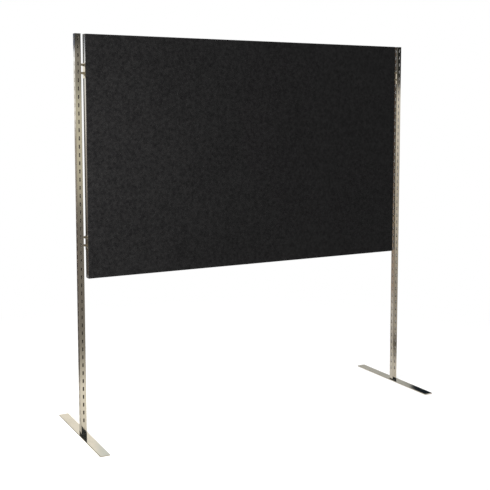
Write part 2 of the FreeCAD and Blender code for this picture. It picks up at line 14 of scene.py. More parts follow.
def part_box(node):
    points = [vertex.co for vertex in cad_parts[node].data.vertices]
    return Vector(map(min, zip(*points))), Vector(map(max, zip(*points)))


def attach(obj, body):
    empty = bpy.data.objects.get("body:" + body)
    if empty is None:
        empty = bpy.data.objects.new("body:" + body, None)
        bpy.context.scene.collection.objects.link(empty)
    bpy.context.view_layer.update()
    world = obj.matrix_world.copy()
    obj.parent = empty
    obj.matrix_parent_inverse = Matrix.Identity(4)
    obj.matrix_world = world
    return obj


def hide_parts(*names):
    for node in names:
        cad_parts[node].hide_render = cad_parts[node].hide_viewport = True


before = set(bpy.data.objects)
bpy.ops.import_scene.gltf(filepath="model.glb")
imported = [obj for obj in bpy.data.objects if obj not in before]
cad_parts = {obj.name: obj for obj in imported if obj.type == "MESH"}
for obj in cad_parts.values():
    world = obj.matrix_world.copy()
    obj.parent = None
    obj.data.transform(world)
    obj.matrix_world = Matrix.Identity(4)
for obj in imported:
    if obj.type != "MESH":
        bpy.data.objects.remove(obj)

LOG = logging.getLogger("partition")
MM = 0.001
NEAR = 1e-6
Colour = tuple[float, float, float]
Stops = Sequence[tuple[float, Colour]]
Socket = bpy.types.NodeSocket
Piece = bpy.types.Object
Shape = bmesh.types.BMesh
Vert = bmesh.types.BMVert
Edge = bmesh.types.BMEdge
Face = bmesh.types.BMFace


class Side(Enum):
    """The two ends of the partition, with the sign of X at each."""

    LEFT = -1
    RIGHT = 1

    def node(self, part: str) -> str:
        """The CAD name of this side's part."""
        return f"{self.name.lower()}_{part}"


class Facing(Enum):
    """The two faces of the panel, with the sign of Y at each."""

    FRONT = -1
    BACK = 1


class Body(Enum):
    """The bodies that pieces ride on."""

    STANDS = "stands"
    PANEL = "panel"


def linear(red: float, green: float, blue: float) -> Colour:
    """A screen colour, each part from 0 to 255, as scene light."""
    parts = (red / 255, green / 255, blue / 255)
    return tuple(c / 12.92 if c <= 0.04045 else ((c + 0.055) / 1.055) ** 2.4 for c in parts)


# ---------------- shader writing


class Signal:
    """A shader value that Python arithmetic can be written on."""

    def __init__(self, shader: "Shader", socket: Socket) -> None:
        """Wrap one output socket of a shader's node."""
        self.shader = shader
        self.socket = socket

    def _combine(self, operation: str, *terms: Any) -> "Signal":
        """Add the Math node that joins the terms."""
        node = self.shader.add("ShaderNodeMath", {"operation": operation}, dict(enumerate(terms)))
        return Signal(self.shader, node.outputs[0])

    def __add__(self, other: Any) -> "Signal":
        """This value plus another."""
        return self._combine("ADD", self, other)

    __radd__ = __add__

    def __mul__(self, other: Any) -> "Signal":
        """This value times another."""
        return self._combine("MULTIPLY", self, other)

    def __sub__(self, other: Any) -> "Signal":
        """This value less another."""
        return self._combine("SUBTRACT", self, other)

    def __rsub__(self, other: Any) -> "Signal":
        """Another value less this one."""
        return self._combine("SUBTRACT", other, self)

    def __truediv__(self, other: Any) -> "Signal":
        """This value over another."""
        return self._combine("DIVIDE", self, other)

    def __pow__(self, other: Any) -> "Signal":
        """This value to a power."""
        return self._combine("POWER", self, other)

    def __abs__(self) -> "Signal":
        """This value without its sign."""
        return self._combine("ABSOLUTE", self)

    def least(self, other: Any) -> "Signal":
        """The smaller of this value and another."""
        return self._combine("MINIMUM", self, other)

    def most(self, other: Any) -> "Signal":
        """The larger of this value and another."""
        return self._combine("MAXIMUM", self, other)

    def fraction(self) -> "Signal":
        """What is left after the whole part."""
        return self._combine("FRACT", self)

    def step(self, low: float, high: float) -> "Signal":
        """A smooth rise from 0 at low to 1 at high; a fall where low is the larger."""
        settings = {"interpolation_type": "SMOOTHSTEP"}
        values = {"Value": self, "From Min": low, "From Max": high}
        node = self.shader.add("ShaderNodeMapRange", settings, values)
        return Signal(self.shader, node.outputs[0])


class Shader:
    """A node tree, and the one way that nodes are put into it."""

    def __init__(self, tree: bpy.types.NodeTree) -> None:
        """Start on an emptied tree."""
        self.tree = tree
        tree.nodes.clear()

    def add(self, kind: str, settings: dict[str, Any], values: dict[Any, Any]) -> bpy.types.Node:
        """Add a node.

        Args:
            kind: The node's type name.
            settings: Properties that are set before the sockets; "stops" fills a colour ramp.
            values: Numbers, colours, Signals or sockets, by socket identifier, name or index.

        Returns:
            The new node.
        """
        node = self.tree.nodes.new(kind)
        for name, setting in settings.items():
            if name == "stops":
                self._fill_ramp(node.color_ramp, setting)
            else:
                setattr(node, name, setting)
        for key, value in values.items():
            target = self._input(node, key)
            if isinstance(value, Signal):
                value = value.socket
            if isinstance(value, bpy.types.NodeSocket):
                self.tree.links.new(value, target)
            elif target.type == "RGBA":
                target.default_value = (*value[:3], 1.0)
            else:
                target.default_value = value
        return node

    @staticmethod
    def _input(node: bpy.types.Node, key: Any) -> Socket:
        """Find an input by its index, identifier or name."""
        if isinstance(key, int):
            return node.inputs[key]
        named = [s for s in node.inputs if s.identifier == key or s.name == key]
        usable = [s for s in named if s.enabled]
        return (usable or named)[0]

    @staticmethod
    def _fill_ramp(ramp: bpy.types.ColorRamp, stops: Stops) -> None:
        """Set a colour ramp's stops."""
        while len(ramp.elements) > 1:
            ramp.elements.remove(ramp.elements[-1])
        for index, (position, colour) in enumerate(stops):
            element = ramp.elements[0] if index == 0 else ramp.elements.new(position)
            element.position = position
            element.color = (*colour, 1.0)

    def place(
        self, centre: Sequence[float] = (0, 0, 0), scale: Sequence[float] = (1, 1, 1)
    ) -> Socket:
        """Object coordinates, centred on a point and stretched along each axis."""
        coordinates = self.add("ShaderNodeTexCoord", {}, {}).outputs["Object"]
        location = [-c * s for c, s in zip(centre, scale)]
        values = {"Vector": coordinates, "Location": location, "Scale": list(scale)}
        return self.add("ShaderNodeMapping", {}, values).outputs[0]

    def axes(self, vector: Socket) -> tuple[Signal, Signal, Signal]:
        """The three parts of a vector."""
        parts = self.add("ShaderNodeSeparateXYZ", {}, {"Vector": vector}).outputs
        return tuple(Signal(self, part) for part in parts)

    def noise(
        self, vector: Socket, scale: float, detail: float = 2.0, rough: float = 0.5
    ) -> Signal:
        """Soft noise from 0 to 1, with that many waves to a unit."""
        values = {"Vector": vector, "Scale": scale, "Detail": detail, "Roughness": rough}
        return Signal(self, self.add("ShaderNodeTexNoise", {}, values).outputs[0])

    def cells(self, vector: Socket, scale: float) -> Signal:
        """Distance to the nearest of scattered points."""
        node = self.add("ShaderNodeTexVoronoi", {}, {"Vector": vector, "Scale": scale})
        return Signal(self, node.outputs["Distance"])

    def mix(self, share: Any, first: Any, second: Any) -> Socket:
        """A colour between two colours."""
        values = {"Factor_Float": share, "A_Color": first, "B_Color": second}
        made = self.add("ShaderNodeMix", {"data_type": "RGBA"}, values).outputs
        return next(output for output in made if output.identifier == "Result_Color")

    def ramp(self, share: Any, stops: Stops) -> Socket:
        """A colour read from stops along a ramp."""
        return self.add("ShaderNodeValToRGB", {"stops": stops}, {"Fac": share}).outputs["Color"]

    def bump(self, height: Signal, depth: float, under: Socket | None = None) -> Socket:
        """A normal tilted by a height that runs from 0 to 1 over depth metres."""
        values = {"Height": height, "Distance": depth, "Strength": 1.0}
        if under is not None:
            values["Normal"] = under
        return self.add("ShaderNodeBump", {}, values).outputs[0]

    def surface(self, **inputs: Any) -> None:
        """End the tree in a Principled surface; underscores in names stand for spaces."""
        values = {name.replace("_", " "): value for name, value in inputs.items()}
        surface = self.add("ShaderNodeBsdfPrincipled", {}, values)
        self.add("ShaderNodeOutputMaterial", {}, {"Surface": surface.outputs[0]})


# ---------------- finishes


@dataclass(frozen=True)
class Finish:
    """A material that is made once and shared."""

    name: str

    def paint(self, shader: Shader) -> None:
        """Write the finish into an empty tree."""
        raise NotImplementedError

    def material(self) -> bpy.types.Material:
        """The finish as a Blender material."""
        made = bpy.data.materials.get(self.name)
        if made is None:
            made = bpy.data.materials.new(self.name)
            made.use_nodes = True
            self.paint(Shader(made.node_tree))
        return made


@dataclass(frozen=True)
class Chrome(Finish):
    """Bright chrome plate on drawn steel: faint ripple, polishing haze and handling smears."""

    bright: Colour = (0.83, 0.82, 0.80)
    hazed: Colour = (0.75, 0.74, 0.71)
    roughness: float = 0.035
    ripple: float = 0.03 * MM

    def paint(self, shader: Shader) -> None:
        """Write the plated surface."""
        spot = shader.place()
        smear = shader.noise(spot, 7.0, 4.0, 0.6).step(0.45, 0.72)
        lines = shader.noise(shader.place(scale=(1500, 1500, 45)), 1.0)
        wear = self.wear(shader)
        roughness = self.roughness + smear * 0.06 + lines * 0.02 + wear * 0.22
        tone = shader.mix(smear * 0.6, self.bright, self.hazed)
        tone = shader.mix(wear * 0.7, tone, (0.56, 0.52, 0.46))
        ripple = shader.bump(shader.noise(spot, 16.0, 1.0), self.ripple)
        normal = shader.bump(lines, 0.0012 * MM, ripple)
        shader.surface(Base_Color=tone, Metallic=1.0, Roughness=roughness, Normal=normal)

    def wear(self, shader: Shader) -> Signal:
        """Sparse pinhead pits in the plating."""
        pits = shader.cells(shader.place(), 260.0).step(0.09, 0.03)
        return pits * shader.noise(shader.place(), 11.0).step(0.5, 0.7)


@dataclass(frozen=True)
class SlottedChrome(Chrome):
    """Chrome on a slotted post, rubbed thin round the slots where hooks go in and out."""

    middle: float = 0.0
    first_slot: float = 0.077
    pitch: float = 0.04
    slot_wide: float = 0.006
    slot_tall: float = 0.020

    def wear(self, shader: Shader) -> Signal:
        """A broken ring of wear round every slot, heavier at the seat below."""
        centre = (self.middle, 0, self.first_slot - self.pitch / 2)
        x, y, z = shader.axes(shader.place(centre=centre))
        along = ((z / self.pitch).fraction() - 0.5) * self.pitch
        straight = (self.slot_tall - self.slot_wide) / 2
        beyond = (abs(along) - straight).most(0.0)
        across = abs(x).least(abs(y))
        away = (across * across + beyond * beyond) ** 0.5
        ring = away.step(self.slot_wide / 2 + 1.8 * MM, self.slot_wide / 2 + 0.2 * MM)
        seat = along.step(0.004, -0.012) * 0.6 + 0.4
        broken = shader.noise(shader.place(), 420.0, 3.0).step(0.42, 0.62)
        return ring * seat * broken


@dataclass(frozen=True)
class Felt(Finish):
    """Black needle-punched loop cloth: matted fibres, small clumps and a faint bloom."""

    dark: Colour = (0.0024, 0.0024, 0.0029)
    light: Colour = (0.0100, 0.0100, 0.0106)
    fleck: Colour = (0.030, 0.030, 0.030)

    def paint(self, shader: Shader) -> None:
        """Write the matted cloth."""
        spot = shader.place()
        drift = shader.noise(spot, 3.0)
        clump = shader.noise(spot, 62.0, 4.0, 0.65)
        fibre = shader.noise(shader.place(scale=(1.0, 1.0, 0.55)), 900.0, 4.0, 0.7)
        loops = shader.cells(spot, 520.0)
        fleck = shader.noise(spot, 260.0).step(0.60, 0.72)
        shade = clump * 0.75 + fibre * 0.3 + (1 - loops) * 0.2 + drift * 0.12
        tone = shader.mix(shade.step(0.45, 0.95), self.dark, self.light)
        tone = shader.mix(fleck * 0.3, tone, self.fleck)
        nap = shader.bump(fibre * 0.9 + (1 - loops) * 0.7 + clump * 0.25, 0.6 * MM)
        shader.surface(
            Base_Color=tone,
            Roughness=0.93 - fibre * 0.08,
            Specular_IOR_Level=0.12,
            Sheen_Weight=0.05,
            Sheen_Roughness=0.45,
            Normal=nap,
        )


@dataclass(frozen=True)
class Aluminium(Finish):
    """Bright-anodised extrusion: fine die lines along its length, and painted shade down in its
    groove.
    """

    tone: Colour = (0.80, 0.80, 0.79)
    face: float = 0.931

    def paint(self, shader: Shader) -> None:
        """Write the extruded surface."""
        lines = shader.noise(shader.place(scale=(2600, 2600, 3)), 1.0, 3.0)
        cloud = shader.noise(shader.place(), 24.0, 3.0)
        scuff = shader.noise(shader.place(scale=(60, 60, 14)), 1.0, 5.0, 0.7).step(0.62, 0.74)
        x, y, _ = shader.axes(shader.place())
        # Painted shade: the groove is darkened and made rougher the deeper in it lies, in place of
        # the shade between its walls.
        groove_shade = abs(x).step(self.face - 1.5 * MM, self.face - 4.0 * MM) * abs(y).step(0.0175, 0.0165)
        roughness = 0.10 + lines * 0.07 + cloud * 0.05 + scuff * 0.12 + groove_shade * 0.15
        tone = shader.mix(lines * 0.5 + cloud * 0.3, self.tone, (0.66, 0.66, 0.65))
        tone = shader.mix(groove_shade * 0.55, tone, (0.30, 0.29, 0.27))
        normal = shader.bump(lines, 0.004 * MM)
        shader.surface(Base_Color=tone, Metallic=1.0, Roughness=roughness, Normal=normal)


@dataclass(frozen=True)
class Moulded(Finish):
    """Moulded plastic or rubber with a fine spark-eroded grain."""

    tone: Colour = (0.018, 0.018, 0.018)
    roughness: float = 0.48
    grain: float = 1400.0
    relief: float = 0.03 * MM

    def paint(self, shader: Shader) -> None:
        """Write the grained surface."""
        spot = shader.place()
        grain = shader.noise(spot, self.grain)
        scuff = shader.noise(spot, 90.0, 5.0, 0.7).step(0.55, 0.75)
        paler = tuple(c * 1.9 + 0.008 for c in self.tone)
        tone = shader.mix(scuff * 0.6 + grain * 0.2, self.tone, paler)
        roughness = self.roughness + grain * 0.12 + scuff * 0.1
        shader.surface(Base_Color=tone, Roughness=roughness, Normal=shader.bump(grain, self.relief))


@dataclass(frozen=True)
class Zinc(Finish):
    """Bright zinc on machined steel, faintly spangled."""

    tone: Colour = (0.60, 0.60, 0.61)

    def paint(self, shader: Shader) -> None:
        """Write the plated steel."""
        spot = shader.place()
        spangle = shader.cells(spot, 700.0)
        stain = shader.noise(spot, 160.0, 3.0).step(0.5, 0.75)
        tone = shader.mix(stain * 0.5 + spangle * 0.2, self.tone, (0.46, 0.45, 0.42))
        roughness = 0.22 + spangle * 0.12 + stain * 0.15
        normal = shader.bump(shader.noise(spot, 2200.0), 0.006 * MM)
        shader.surface(Base_Color=tone, Metallic=1.0, Roughness=roughness, Normal=normal)


@dataclass(frozen=True)
class MillSteel(Finish):
    """Unplated steel with mill scale and a bloom of rust, as inside a tube."""

    scale: Colour = (0.17, 0.16, 0.145)
    rust: Colour = (0.19, 0.135, 0.09)

    def paint(self, shader: Shader) -> None:
        """Write the dull surface."""
        spot = shader.place()
        bloom = shader.noise(spot, 130.0, 4.0, 0.65)
        grain = shader.noise(spot, 1200.0)
        tone = shader.mix(bloom.step(0.52, 0.72) * 0.7 + grain * 0.15, self.scale, self.rust)
        normal = shader.bump(bloom * 0.5 + grain * 0.5, 0.03 * MM)
        shader.surface(Base_Color=tone, Metallic=0.5, Roughness=0.5 + grain * 0.2, Normal=normal)


class Grain(Enum):
    """Which way the fibres of a timber piece run."""

    UPRIGHT = (1.0, 1.0, 0.06)
    LEVEL = (0.06, 1.0, 1.0)


@dataclass(frozen=True)
class Timber(Finish):
    """Planed softwood with early and late growth and a few fine pores."""

    grain: Grain = Grain.UPRIGHT
    early: Colour = (0.66, 0.47, 0.27)
    late: Colour = (0.42, 0.25, 0.115)

    def paint(self, shader: Shader) -> None:
        """Write the planed wood."""
        run = shader.place(scale=self.grain.value)
        rings = shader.noise(run, 95.0, 3.0, 0.55)
        pores = shader.noise(run, 1500.0)
        tone = shader.mix((rings * 4.0).fraction().step(0.15, 0.95), self.early, self.late)
        tone = shader.mix(pores.step(0.62, 0.72) * 0.4, tone, (0.30, 0.17, 0.08))
        roughness = 0.55 + pores * 0.15
        normal = shader.bump(rings * 0.6 + pores * 0.4, 0.06 * MM)
        shader.surface(Base_Color=tone, Roughness=roughness, Normal=normal)


@dataclass(frozen=True)
class PressedFibre(Finish):
    """Hardboard or kraft board: pressed fibres with darker flecks."""

    tone: Colour = (0.26, 0.155, 0.075)
    fleck: Colour = (0.12, 0.065, 0.03)
    roughness: float = 0.5

    def paint(self, shader: Shader) -> None:
        """Write the pressed surface."""
        spot = shader.place()
        matted = shader.noise(spot, 480.0, 5.0, 0.7)
        cloud = shader.noise(spot, 22.0, 3.0)
        tone = shader.mix(matted.step(0.5, 0.75) * 0.7 + cloud * 0.25, self.tone, self.fleck)
        roughness = self.roughness + matted * 0.2
        shader.surface(Base_Color=tone, Roughness=roughness, Normal=shader.bump(matted, 0.05 * MM))


CHROME = Chrome("bright_chrome")
# The hook plates' cream tint is a painted reflection of a beige room, laid into the metal's own
# colour.
REFLECTION_TINTED_PLATE = Chrome("reflection_tinted_hook_plate", (0.80, 0.75, 0.66), (0.72, 0.67, 0.58), 0.08)
LINING = MillSteel("tube_lining")
CLOTH = Felt("black_felt")
EXTRUSION = Aluminium("satin_aluminium")
PLASTIC = Moulded("black_moulding")
PLUG_PLASTIC = Moulded("charcoal_moulding", (0.055, 0.056, 0.058), 0.34)
RUBBER = Moulded("black_rubber", (0.024, 0.024, 0.023), 0.72, 800.0, 0.05 * MM)
STEEL = Zinc("zinc_steel")
UPRIGHT_TIMBER = Timber("upright_timber")
LEVEL_TIMBER = Timber("level_timber", Grain.LEVEL)
BEECH = Timber("beech_dowel", Grain.LEVEL, (0.62, 0.40, 0.22), (0.50, 0.29, 0.14))
HARDBOARD = PressedFibre("hardboard")
KRAFT = PressedFibre("kraft_board", (0.42, 0.28, 0.15), (0.27, 0.17, 0.085), 0.7)


# ---------------- mesh helpers


def publish(
    name: str, shape: Shape, body: Body, finish: Finish, slot: str, *nodes: str
) -> Piece:
    """Make a piece of the object from a finished bmesh.

    Args:
        name: The piece's name.
        shape: The bmesh, in the row frame; it is freed.
        body: The body that the piece rides on.
        finish: Its material.
        slot: The record's material slot; not used.
        nodes: The CAD nodes that it stands for.

    Returns:
        The new object, at the origin.
    """
    mesh = bpy.data.meshes.new(name)
    shape.to_mesh(mesh)
    shape.free()
    mesh.materials.append(finish.material())
    mesh.polygons.foreach_set("use_smooth", [True] * len(mesh.polygons))
    piece = bpy.data.objects.new(name, mesh)
    bpy.context.scene.collection.objects.link(piece)
    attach(piece, body.value)
    if nodes:
        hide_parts(*nodes)
    LOG.info("%s rides on %s and stands for %s", name, body.value, ", ".join(nodes) or "nothing")
    return piece


def thicken(piece: Piece, thickness: float, lining: Finish | None = None) -> None:
    """Give an open shell its wall, inward from the modelled face.

    Args:
        piece: The shell.
        thickness: The wall, in metres.
        lining: A finish for the inside and the cut edges, where it isn't the outside's.
    """
    wall = piece.modifiers.new("wall", "SOLIDIFY")
    if lining is not None:
        piece.data.materials.append(lining.material())
        wall.material_offset = 1
        wall.material_offset_rim = 1
    wall.thickness = thickness
    wall.offset = -1.0
    wall.use_even_offset = True


def soften(piece: Piece, width: float, segments: int = 2, angle: float = 40.0) -> None:
    """Round a piece's sharp edges and keep its flat faces flat."""
    edge = piece.modifiers.new("softened_edges", "BEVEL")
    edge.width = width
    edge.segments = segments
    edge.limit_method = "ANGLE"
    edge.angle_limit = math.radians(angle)
    edge.harden_normals = True
    edge.use_clamp_overlap = True
    level = piece.modifiers.new("flat_faces", "WEIGHTED_NORMAL")
    level.keep_sharp = True
    level.weight = 100


def everything(shape: Shape) -> list[Any]:
    """All that a bmesh holds so far."""
    return [*shape.verts, *shape.edges, *shape.faces]


def only(kind: type, items: Iterable[Any]) -> list[Any]:
    """The items of one kind."""
    return [item for item in items if isinstance(item, kind)]


def middle_height(face: Face) -> float:
    """How high the middle of a face is."""
    return face.calc_center_median().z


def moved_copy(shape: Shape, geometry: list[Any], matrix: Matrix) -> None:
    """Copy part of a bmesh and move the copy."""
    copied = bmesh.ops.duplicate(shape, geom=geometry)["geom"]
    bmesh.ops.transform(shape, matrix=matrix, verts=only(Vert, copied))


def pull(shape: Shape, edges: Iterable[Edge], by: Sequence[float]) -> list[Edge]:
    """Extrude edges by a vector and return the new outer edges."""
    made = bmesh.ops.extrude_edge_only(shape, edges=list(edges))["geom"]
    verts = only(Vert, made)
    bmesh.ops.translate(shape, verts=verts, vec=Vector(by))
    moved = set(verts)
    return [edge for edge in only(Edge, made) if moved.issuperset(edge.verts)]


def dish(shape: Shape, face: Face, border: float, depth: float, slope: float = 0.5 * MM) -> None:
    """Sink the middle of a face behind a flat border."""
    bmesh.ops.inset_region(shape, faces=[face], thickness=border, depth=0.0)
    bmesh.ops.inset_region(shape, faces=[face], thickness=slope, depth=-depth)


def tidy(shape: Shape) -> None:
    """Weld doubled points and turn every face outward."""
    bmesh.ops.remove_doubles(shape, verts=shape.verts, dist=0.002 * MM)
    bmesh.ops.recalc_face_normals(shape, faces=shape.faces)


def block(shape: Shape, low: Vector, high: Vector) -> list[Vert]:
    """A block between two corners, still to be shaped."""
    matrix = Matrix.Translation((low + high) / 2) @ Matrix.Diagonal((*(high - low), 1.0))
    return bmesh.ops.create_cube(shape, size=1.0, matrix=matrix)["verts"]


def bevel(shape: Shape, edges: Iterable[Edge], width: float, segments: int) -> None:
    """Round some edges."""
    bmesh.ops.bevel(
        shape,
        geom=list(edges),
        offset=width,
        offset_type="OFFSET",
        affect="EDGES",
        segments=segments,
        profile=0.5,
        material=-1,
    )


def merged_copy(node: str) -> Shape:
    """A CAD node's shape, welded and with its flat faces whole."""
    shape = bmesh.new()
    shape.from_mesh(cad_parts[node].data)
    bmesh.ops.remove_doubles(shape, verts=shape.verts, dist=0.01 * MM)
    bmesh.ops.dissolve_limit(
        shape, angle_limit=math.radians(0.5), verts=shape.verts, edges=shape.edges, delimit=set()
    )
    return shape


def turned(shape: Shape, profile: Sequence[tuple[float, float]], segments: int) -> list[Vert]:
    """Spin a profile of (radius, height) points about Z.

    Args:
        shape: The bmesh to add to.
        profile: Points from one end to the other; the ends may lie on the axis.
        segments: Steps round the axis.

    Returns:
        The points that were added.
    """
    before = set(shape.verts)
    points = [shape.verts.new((radius, 0.0, height)) for radius, height in profile]
    edges = [shape.edges.new(pair) for pair in zip(points, points[1:])]
    bmesh.ops.spin(
        shape,
        geom=points + edges,
        cent=(0, 0, 0),
        axis=(0, 0, 1),
        angle=math.tau,
        steps=segments,
        use_merge=True,
    )
    added = [vert for vert in shape.verts if vert not in before]
    bmesh.ops.remove_doubles(shape, verts=added, dist=0.002 * MM)
    return [vert for vert in shape.verts if vert not in before]


# ---------------- the stands


@dataclass
class Post:
    """A square tube with a column of slots down each face."""

    side: Side
    outside: float = 30 * MM
    wall: float = 2 * MM
    corner: float = 2.5 * MM
    slot_wide: float = 6 * MM
    slot_tall: float = 20 * MM
    pitch: float = 40 * MM
    first_slot_up: float = 71 * MM
    slots: int = 48
    corner_steps: int = 4
    round_points: int = 12
    # How far the small faces round a slot reach, as a share of the flat.
    strip: float = 0.3

    def build(self) -> Piece:
        """Make the tube, slot by slot, and return the piece."""
        low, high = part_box(self.side.node("post"))
        middle = Vector(((low.x + high.x) / 2, (low.y + high.y) / 2, low.z))
        shape = bmesh.new()
        self._one_pitch(shape)
        cell = everything(shape)
        for index in range(1, self.slots):
            moved_copy(shape, cell, Matrix.Translation((0, 0, index * self.pitch)))
        bmesh.ops.translate(shape, verts=shape.verts, vec=(0, 0, self.first_slot_up))
        tidy(shape)
        self._run_to(shape, 0.0)
        self._run_to(shape, high.z - low.z)
        bmesh.ops.translate(shape, verts=shape.verts, vec=middle)
        bmesh.ops.recalc_face_normals(shape, faces=shape.faces)
        finish = SlottedChrome(f"{self.side.name.lower()}_post_chrome", middle=middle.x)
        name = self.side.node("slotted_tube")
        piece = publish(name, shape, Body.STANDS, finish, "chrome", self.side.node("post"))
        thicken(piece, self.wall, LINING)
        soften(piece, 0.28 * MM)
        return piece

    def _one_pitch(self, shape: Shape) -> None:
        """One slot's height of the whole tube, centred on its slot."""
        half = self.outside / 2
        flat = half - self.corner
        straight = (self.slot_tall - self.slot_wide) / 2
        turn = math.pi / self.round_points
        matrix = (
            Matrix.Translation((0, -half, 0))
            @ Matrix.Rotation(math.pi / 2, 4, "X")
            @ Matrix.Rotation(turn, 4, "Z")
        )
        rim = bmesh.ops.create_circle(
            shape,
            cap_ends=False,
            segments=self.round_points,
            radius=self.slot_wide / 2 / math.cos(turn),
            matrix=matrix,
        )["verts"]
        for vert in rim:
            vert.co.z += math.copysign(straight, vert.co.z)
        made = bmesh.ops.extrude_edge_only(shape, edges=list(shape.edges))["geom"]
        for vert in only(Vert, made):
            across = abs(vert.co.x)
            along = abs(vert.co.z) - straight
            is_corner = abs(across - along) < 0.1 * MM
            x = flat if is_corner or across > along else self.strip * flat
            z = self.pitch / 2 if is_corner or along > across else straight
            vert.co.x = math.copysign(x, vert.co.x)
            vert.co.z = math.copysign(z, vert.co.z)
        side_edges = [e for e in shape.edges if all(abs(v.co.x - flat) < NEAR for v in e.verts)]
        side_points = list({v for e in side_edges for v in e.verts})
        bmesh.ops.spin(
            shape,
            geom=side_points + side_edges,
            cent=(flat, -flat, 0),
            axis=(0, 0, 1),
            angle=math.pi / 2,
            steps=self.corner_steps,
        )
        quarter = everything(shape)
        for turns in (1, 2, 3):
            moved_copy(shape, quarter, Matrix.Rotation(turns * math.pi / 2, 4, "Z"))

    @staticmethod
    def _run_to(shape: Shape, height: float) -> None:
        """Carry the nearer open end of the tube on to a height."""
        levels = [v.co.z for v in shape.verts]
        end = min(levels) if abs(min(levels) - height) < abs(max(levels) - height) else max(levels)
        open_edges = [edge for edge in shape.edges if edge.is_boundary]
        rim = [e for e in open_edges if all(abs(v.co.z - end) < NEAR for v in e.verts)]
        pull(shape, rim, (0, 0, height - end))


@dataclass
class PostCap:
    """A pressed-in plastic cap with a crowned lid."""

    side: Side
    corner: float = 2.5 * MM
    edge: float = 0.8 * MM
    lid: float = 2 * MM
    plug_inset: float = 2.1 * MM
    border: float = 3.2 * MM
    hollow: float = 0.35 * MM

    def build(self) -> Piece:
        """Make the lid and the plug below it, and return the piece."""
        low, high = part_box(self.side.node("post_cap"))
        seat = Vector((low.x, low.y, high.z - self.lid))
        shape = bmesh.new()
        block(shape, seat, high)
        bevel(shape, [e for e in shape.edges if self._is_upright(e)], self.corner, 4)
        bottom = min(shape.faces, key=middle_height)
        bevel(shape, max(shape.faces, key=middle_height).edges, self.edge, 3)
        bmesh.ops.inset_region(shape, faces=[bottom], thickness=self.plug_inset, depth=0.0)
        plug = bmesh.ops.extrude_face_region(shape, geom=[bottom])["geom"]
        bmesh.ops.translate(shape, verts=only(Vert, plug), vec=(0, 0, low.z - seat.z))
        bmesh.ops.delete(shape, geom=[bottom], context="FACES")
        dish(shape, max(shape.faces, key=middle_height), self.border, self.hollow)
        tidy(shape)
        name, node = self.side.node("moulded_cap"), self.side.node("post_cap")
        piece = publish(name, shape, Body.STANDS, PLASTIC, "black_plastic", node)
        soften(piece, 0.12 * MM)
        return piece

    @staticmethod
    def _is_upright(edge: Edge) -> bool:
        """Whether an edge runs up."""
        return abs((edge.verts[0].co - edge.verts[1].co).normalized().z) > 0.99


@dataclass
class FootPads:
    """Two round rubber pads under a foot, with a moulded ring and hollow."""

    side: Side
    radius: float = 14 * MM
    ease: float = 0.4 * MM
    top_ease: float = 0.3 * MM
    # The moulded ring's edges, as shares of the radius.
    ring: tuple[float, ...] = (0.78, 0.72, 0.34, 0.30)

    def build(self) -> Piece:
        """Make both pads and return the piece."""
        low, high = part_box(self.side.node("foot_pads"))
        tall = high.z - low.z
        profile = [
            (0.0, tall),
            (self.radius - self.ease, tall),
            (self.radius, tall - self.top_ease),
            (self.radius, self.ease),
            (self.radius - self.ease, 0.0),
            *zip([self.radius * share for share in self.ring], (0.0, self.ease, self.ease, 0.0)),
            (0.0, 0.0),
        ]
        shape = bmesh.new()
        for y in (low.y + self.radius, high.y - self.radius):
            pad = turned(shape, profile, 32)
            bmesh.ops.translate(shape, verts=pad, vec=((low.x + high.x) / 2, y, low.z))
        tidy(shape)
        name = self.side.node("rubber_pads")
        piece = publish(name, shape, Body.STANDS, RUBBER, "rubber", self.side.node("foot_pads"))
        soften(piece, 0.1 * MM, 1, 30.0)
        return piece


# ---------------- the panel


@dataclass
class Cover:
    """One cloth cover, pulled over a face of the panel and down its edges."""

    facing: Facing
    thickness: float = 1.2 * MM
    side_return: float = 4.2 * MM
    edge_round: float = 2.4 * MM
    sag: float = 0.12 * MM
    # The sag's waves, across and up: radians to a metre, and the start.
    waves: tuple[tuple[float, float], ...] = ((9.3, 0.7), (12.1, 1.9))
    across: int = 62
    up: int = 40

    def build(self) -> Piece:
        """Make the cover and return the piece."""
        node = f"{self.facing.name.lower()}_fabric"
        low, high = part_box(node)
        face = low.y if self.facing is Facing.FRONT else high.y
        inward = -self.facing.value
        wide, tall, deep = high.x - low.x, high.z - low.z, high.y - low.y
        centre = Vector(((low.x + high.x) / 2, face, (low.z + high.z) / 2))
        shape = bmesh.new()
        matrix = (
            Matrix.Translation(centre)
            @ Matrix.Rotation(math.pi / 2, 4, "X")
            @ Matrix.Diagonal((wide, tall, 1.0, 1.0))
        )
        bmesh.ops.create_grid(
            shape, x_segments=self.across, y_segments=self.up, size=0.5, matrix=matrix
        )
        rim = [edge for edge in shape.edges if edge.is_boundary]
        outer = pull(shape, rim, (0, inward * self.side_return, 0))
        level = [edge for edge in outer if abs(edge.verts[0].co.z - edge.verts[1].co.z) < NEAR]
        pull(shape, level, (0, inward * (deep - self.side_return), 0))
        folds = [edge for edge in shape.edges if edge.is_manifold and edge.calc_face_angle() > 1.0]
        bevel(shape, folds, self.edge_round, 4)
        self._relax(shape, centre)
        tidy(shape)
        if sum(f.normal.y * f.calc_area() for f in shape.faces) * self.facing.value < 0:
            bmesh.ops.reverse_faces(shape, faces=shape.faces)
        name = f"{self.facing.name.lower()}_cover"
        piece = publish(name, shape, Body.PANEL, CLOTH, "fabric", node)
        thicken(piece, self.thickness)
        return piece

    def _relax(self, shape: Shape, centre: Vector) -> None:
        """Let the stretched face sink by a hair between its edges, unevenly."""
        (level_rate, level_start), (upright_rate, upright_start) = self.waves
        for vert in shape.verts:
            if abs(vert.co.y - centre.y) > NEAR:
                continue
            wave = math.sin(vert.co.x * level_rate + level_start)
            wave *= math.sin(vert.co.z * upright_rate + upright_start)
            vert.co.y -= self.facing.value * self.sag * (1 + wave)


